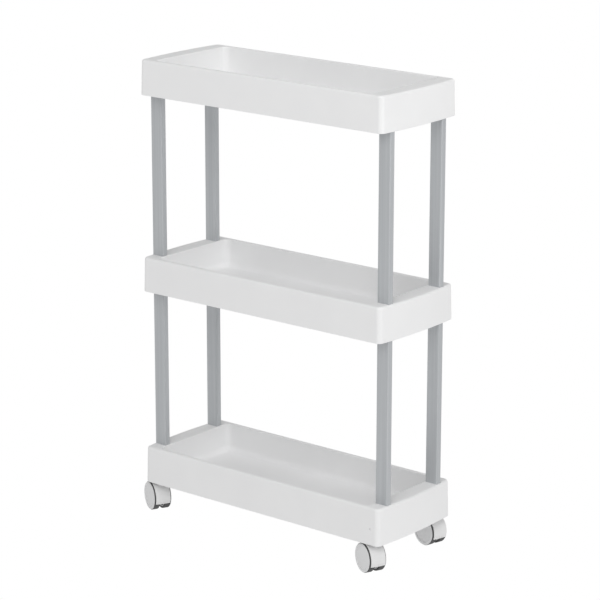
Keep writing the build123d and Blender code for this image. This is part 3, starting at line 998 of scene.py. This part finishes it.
def make_cover():
    """The curved cover, swept about the axle from its stepped front lip to its rear edge."""
    lip_end = HOOD_FRONT + HOOD_LIP
    sweep = [(HOOD_FRONT, HOOD_LIP_STEP), (lip_end, HOOD_LIP_STEP)]
    for i in range(HOOD_STEPS + 1):
        angle = lip_end + HOOD_LIP_RAMP + (HOOD_REAR - lip_end - HOOD_LIP_RAMP) * i / HOOD_STEPS
        sweep.append((angle, 0))
    rings = []
    for angle, step in sweep:
        rings.append([round_about_axle(angle, radius, along) for radius, along in cover_section(step)])
    return mesh_from_rings("hood_cover", rings)


def make_web():
    """The web between the wheels, a sector of a disc."""
    edge = [WEB_FRONT + (HOOD_REAR - WEB_FRONT) * i / WEB_STEPS for i in range(WEB_STEPS + 1)]
    middle = (HOOD_INNER + HOOD_OUTER) / 2 - WEB_SINK
    rings = []
    for along in (WEB_HALF, -WEB_HALF):
        rings.append(
            [round_about_axle(a, middle, along) for a in edge] + [Vector((0, along, 0))]
        )
    return mesh_from_rings("hood_web", rings)


def combine(name, base, add=(), cut=(), bevel=None):
    """Fuses and cuts meshes with the solid Boolean, rounds sharp edges, and shades smooth with creases
    kept sharp.
    """
    body = place_mesh(base)
    helpers = []
    for operation, meshes in (("UNION", add), ("DIFFERENCE", cut)):
        for mesh in meshes:
            helper = place_mesh(mesh)
            helpers.append(helper)
            modifier = body.modifiers.new(operation, "BOOLEAN")
            modifier.operation = operation
            modifier.solver = "MANIFOLD"
            modifier.object = helper
    if bevel:
        rounding = body.modifiers.new("round", "BEVEL")
        rounding.width = bevel
        rounding.segments = CORNER_SEGMENTS
        rounding.limit_method = "ANGLE"
        rounding.angle_limit = CREASE_ANGLE
        rounding.use_clamp_overlap = True
    bpy.context.view_layer.update()
    graph = bpy.context.evaluated_depsgraph_get()
    mesh = bpy.data.meshes.new_from_object(body.evaluated_get(graph), depsgraph=graph)
    mesh.name = name
    body.modifiers.clear()
    for helper in helpers + [body]:
        bpy.data.objects.remove(helper)
    mesh.shade_smooth()
    mesh.set_sharp_from_angle(angle=CREASE_ANGLE)
    return mesh


def weigh_normals(piece):
    """Leaves flat faces flat next to small roundings."""
    weigh = piece.modifiers.new("weigh", "WEIGHTED_NORMAL")
    weigh.keep_sharp = True


def rod(name, place, radius, depth):
    """A closed cylinder as a mesh, its axis on the place's Z."""
    shape = bmesh.new()
    rod_mesh(shape, place, radius, depth)
    return finished(name, shape)


hood_boss_top = max(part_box(c + "_caster_hood")[1].z for c in corners)
along_axle = Matrix.Rotation(math.radians(90), 4, "X")
for corner in corners:
    axle = axle_frame(corner)
    swivel = swivels[corner + "_swivel"]
    trail = (Vector(axle_joint[corner]["pos_m"]) - swivel).to_2d().length
    boss_top = hood_boss_top - axle.translation.z
    boss_foot = math.sqrt(HOOD_INNER ** 2 - (trail + STEM_BOSS) ** 2)
    boss_place = Matrix.Translation((trail, 0, (boss_top + boss_foot) / 2))
    shank_place = Matrix.Translation((trail, 0, boss_top))
    hood_mesh = combine(
        corner + "_hood_moulding",
        make_cover(),
        add=(
            make_web(),
            rod("axle_boss", along_axle, WEB_BOSS, 2 * WEB_BOSS_HALF),
            rod("stem_boss", boss_place, STEM_BOSS, boss_top - boss_foot),
        ),
        cut=(
            rod("shank_hole", shank_place, STEM_SHANK, STEM_SHANK_HOLE),
            rod("axle_hole", along_axle, AXLE_BORE, AXLE_BORE_LENGTH),
        ),
        bevel=HOOD_CORNER_ROUND,
    )
    hood_mesh.transform(axle)
    hood_mesh.materials.append(caster_plastic)
    piece = place_mesh(hood_mesh)
    weigh_normals(piece)
    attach(piece, corner + "_caster")
    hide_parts(corner + "_caster_hood")


# ------------------------------------------------------------------------------------------
# The wheels. Each has a moulded nylon centre, closed outside by a dished disc with a bevelled
# rim, and a soft dark tread ring pressed on behind the rim. They snap on to the steel axle.

WHEEL_SIDES = 72
WHEEL_INNER = 0.0034
WHEEL_OUTER = 0.0126
DISC_THICKNESS = 0.0009
DISC_RADIUS = 0.0186
DISC_BEVEL = 0.0016                # how far the sloping edge runs in
DISC_DISH = 0.0009
DISC_DISH_RADIUS = 0.0152
DISC_CAP_RADIUS = 0.0052
DISC_CAP_STAND = 0.0002
TREAD_INNER = 0.0169
TREAD_SHOULDER = 0.0009
TREAD_SHOULDER_TURN = 0.3         # where along the shoulder its slope changes
HUB_RIM = 0.0020
HUB_BOSS = 0.0046
HUB_FACE = 0.0016
HUB_BORE = 0.00205
HUB_BORE_END = 0.01025
WHEEL_BEVEL = 0.00018
WHEEL_WHITE = (0.790, 0.792, 0.796, 1)
WHEEL_SHADE = (0.755, 0.757, 0.762, 1)
# Next: a painted highlight, the paler colour laid along the wheel's rounded edges.
WHEEL_EDGE_HIGHLIGHT = (0.860, 0.862, 0.865, 1)
TREAD_DARK = (0.060, 0.061, 0.063, 1)
# Next: a paler grey, used both for the rubber's random mottling and for a painted highlight along the
# tread's rounded edges.
TREAD_PALE_AND_EDGE_HIGHLIGHT = (0.110, 0.110, 0.112, 1)


def lathe(name, profile, side):
    """Turns a closed (radius, distance along) profile about the axle, on that side of it."""
    shape = bmesh.new()
    points = []
    for radius, along in profile:
        if radius == 0:
            points.append([shape.verts.new((0, side * along, 0))])
            continue
        turn = [2 * math.pi * i / WHEEL_SIDES for i in range(WHEEL_SIDES)]
        points.append([shape.verts.new(round_about_axle(a, radius, side * along)) for a in turn])
    count = len(profile)
    for index in range(count):
        near = points[index]
        far = points[(index + 1) % count]
        if len(near) == 1 and len(far) == 1:
            continue
        for i in range(WHEEL_SIDES):
            after = (i + 1) % WHEEL_SIDES
            if len(near) == 1:
                shape.faces.new((near[0], far[i], far[after]))
            elif len(far) == 1:
                shape.faces.new((near[i], far[0], near[after]))
            else:
                shape.faces.new((near[i], far[i], far[after], near[after]))
    bmesh.ops.recalc_face_normals(shape, faces=shape.faces)
    return finished(name, shape)


wheel_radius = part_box("front_left_left_tread")[1].z / 2
bevel = DISC_THICKNESS / 2
flange = WHEEL_OUTER - DISC_THICKNESS
dish_face = WHEEL_OUTER - DISC_DISH
behind_face = dish_face - HUB_FACE
hub_profile = [
    (HUB_BORE, WHEEL_INNER),
    (HUB_BOSS, WHEEL_INNER),
    (HUB_BOSS, behind_face),
    (TREAD_INNER - HUB_RIM, behind_face),
    (TREAD_INNER - HUB_RIM, WHEEL_INNER + bevel),
    (TREAD_INNER, WHEEL_INNER + bevel),
    (TREAD_INNER, flange),
    (DISC_RADIUS, flange),
    (DISC_RADIUS, WHEEL_OUTER - bevel),
    (DISC_RADIUS - DISC_BEVEL, WHEEL_OUTER),
    (DISC_DISH_RADIUS + DISC_DISH / 2, WHEEL_OUTER),
    (DISC_DISH_RADIUS, dish_face),
    (DISC_CAP_RADIUS, dish_face),
    (DISC_CAP_RADIUS - DISC_CAP_STAND, dish_face + DISC_CAP_STAND),
    (0, dish_face + DISC_CAP_STAND),
    (0, HUB_BORE_END),
    (HUB_BORE, HUB_BORE_END),
]
tread_profile = [
    (TREAD_INNER, WHEEL_INNER),
    (wheel_radius - TREAD_SHOULDER, WHEEL_INNER),
    (
        wheel_radius - TREAD_SHOULDER_TURN * TREAD_SHOULDER,
        WHEEL_INNER + TREAD_SHOULDER_TURN * TREAD_SHOULDER,
    ),
    (wheel_radius, WHEEL_INNER + TREAD_SHOULDER),
    (wheel_radius, flange - TREAD_SHOULDER / 2),
    (wheel_radius - TREAD_SHOULDER / 2, flange),
    (TREAD_INNER, flange),
]

wheel_plastic = moulded_plastic(
    "wheel_nylon",
    WHEEL_WHITE,
    WHEEL_SHADE,
    WHEEL_EDGE_HIGHLIGHT,
    roughness=(0.30, 0.38),
    grain_scale=2600.0,
    grain_depth=0.00001,
    edge_reach=0.0007,
)
tread_rubber, tread_shader = new_material("soft_tread")
tread_nodes = tread_rubber.node_tree
tread_grain = group_node(tread_nodes, grain_tree, Grain_Scale=2200.0, Wave_Scale=160.0, Wave_Share=0.4)
# This mask lays a painted highlight along the tread's edges.
tread_edge_highlight = group_node(tread_nodes, edge_highlight_tree, Reach=0.0006, Break_Up=600.0)
tread_body = colour_mix(
    tread_nodes, spread(tread_nodes, tread_grain.outputs["Mottle"], 0, 0.5), TREAD_DARK, TREAD_PALE_AND_EDGE_HIGHLIGHT
)
join(
    tread_nodes,
    (
        colour_mix(tread_nodes, tread_edge_highlight.outputs["Mask"], tread_body, TREAD_PALE_AND_EDGE_HIGHLIGHT),
        tread_shader.inputs["Base Color"],
    ),
    (spread(tread_nodes, tread_grain.outputs["Mottle"], 0.55, 0.70), tread_shader.inputs["Roughness"]),
)
bumped(tread_nodes, tread_shader, tread_grain.outputs["Height"], 0.00004)

for corner in corners:
    axle = axle_frame(corner)
    for side_name, side in (("left", 1), ("right", -1)):
        wheel = f"{corner}_{side_name}"
        for part, profile, material, slot in (
            ("wheel", hub_profile, wheel_plastic, "caster_plastic"),
            ("tread", tread_profile, tread_rubber, "tread_rubber"),
        ):
            turned = combine(f"{wheel}_{part}_ring", lathe("turned", profile, side), bevel=WHEEL_BEVEL)
            turned.transform(axle)
            turned.materials.append(material)
            piece = place_mesh(turned)
            weigh_normals(piece)
            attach(piece, wheel + "_wheel_set")
            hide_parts(f"{wheel}_{part}")


# ------------------------------------------------------------------------------------------
# The steel in the casters: a turned stem with a split grip ring that snaps up into the tray's
# boss, and the axle. All zinc plated, and all but hidden once the cart is together.

# Next: the brighter zinc, used both for the turning bands and for a painted highlight along the edges.
ZINC_PALE_AND_EDGE_HIGHLIGHT = (0.640, 0.645, 0.660, 1)
ZINC_DULL = (0.520, 0.525, 0.545, 1)

zinc_plate, zinc_shader = new_material("zinc_plated_steel")
zinc_nodes = zinc_plate.node_tree
zinc_place = zinc_nodes.nodes.new("ShaderNodeTexCoord")
turning = add_node(zinc_nodes, "ShaderNodeMapping", sockets={"Scale": (1.0, 1.0, 9.0)})
zinc_noise = add_node(zinc_nodes, "ShaderNodeTexNoise", sockets={"Scale": 420.0, "Detail": 4.0})
# This mask lays a painted highlight along the steel's edges.
zinc_edge_highlight = group_node(zinc_nodes, edge_highlight_tree, Reach=0.0004, Break_Up=900.0)
join(
    zinc_nodes,
    (zinc_place.outputs["Object"], turning.inputs["Vector"]),
    (turning.outputs[0], zinc_noise.inputs["Vector"]),
)
zinc_bands = spread(zinc_nodes, zinc_noise.outputs["Fac"], 0, 1)
zinc_body = colour_mix(zinc_nodes, zinc_bands, ZINC_DULL, ZINC_PALE_AND_EDGE_HIGHLIGHT)
join(
    zinc_nodes,
    (
        colour_mix(zinc_nodes, zinc_edge_highlight.outputs["Mask"], zinc_body, ZINC_PALE_AND_EDGE_HIGHLIGHT),
        zinc_shader.inputs["Base Color"],
    ),
    (spread(zinc_nodes, zinc_noise.outputs["Fac"], 0.24, 0.38), zinc_shader.inputs["Roughness"]),
)
zinc_shader.inputs["Metallic"].default_value = 1.0
bumped(zinc_nodes, zinc_shader, zinc_noise.outputs["Fac"], 0.00001)

for corner in corners:
    for part in ("caster_stem", "caster_grip_ring", "caster_axle"):
        steel = frame["nodes"][f"{corner}_{part}"]
        steel.data.materials.clear()
        steel.data.materials.append(zinc_plate)
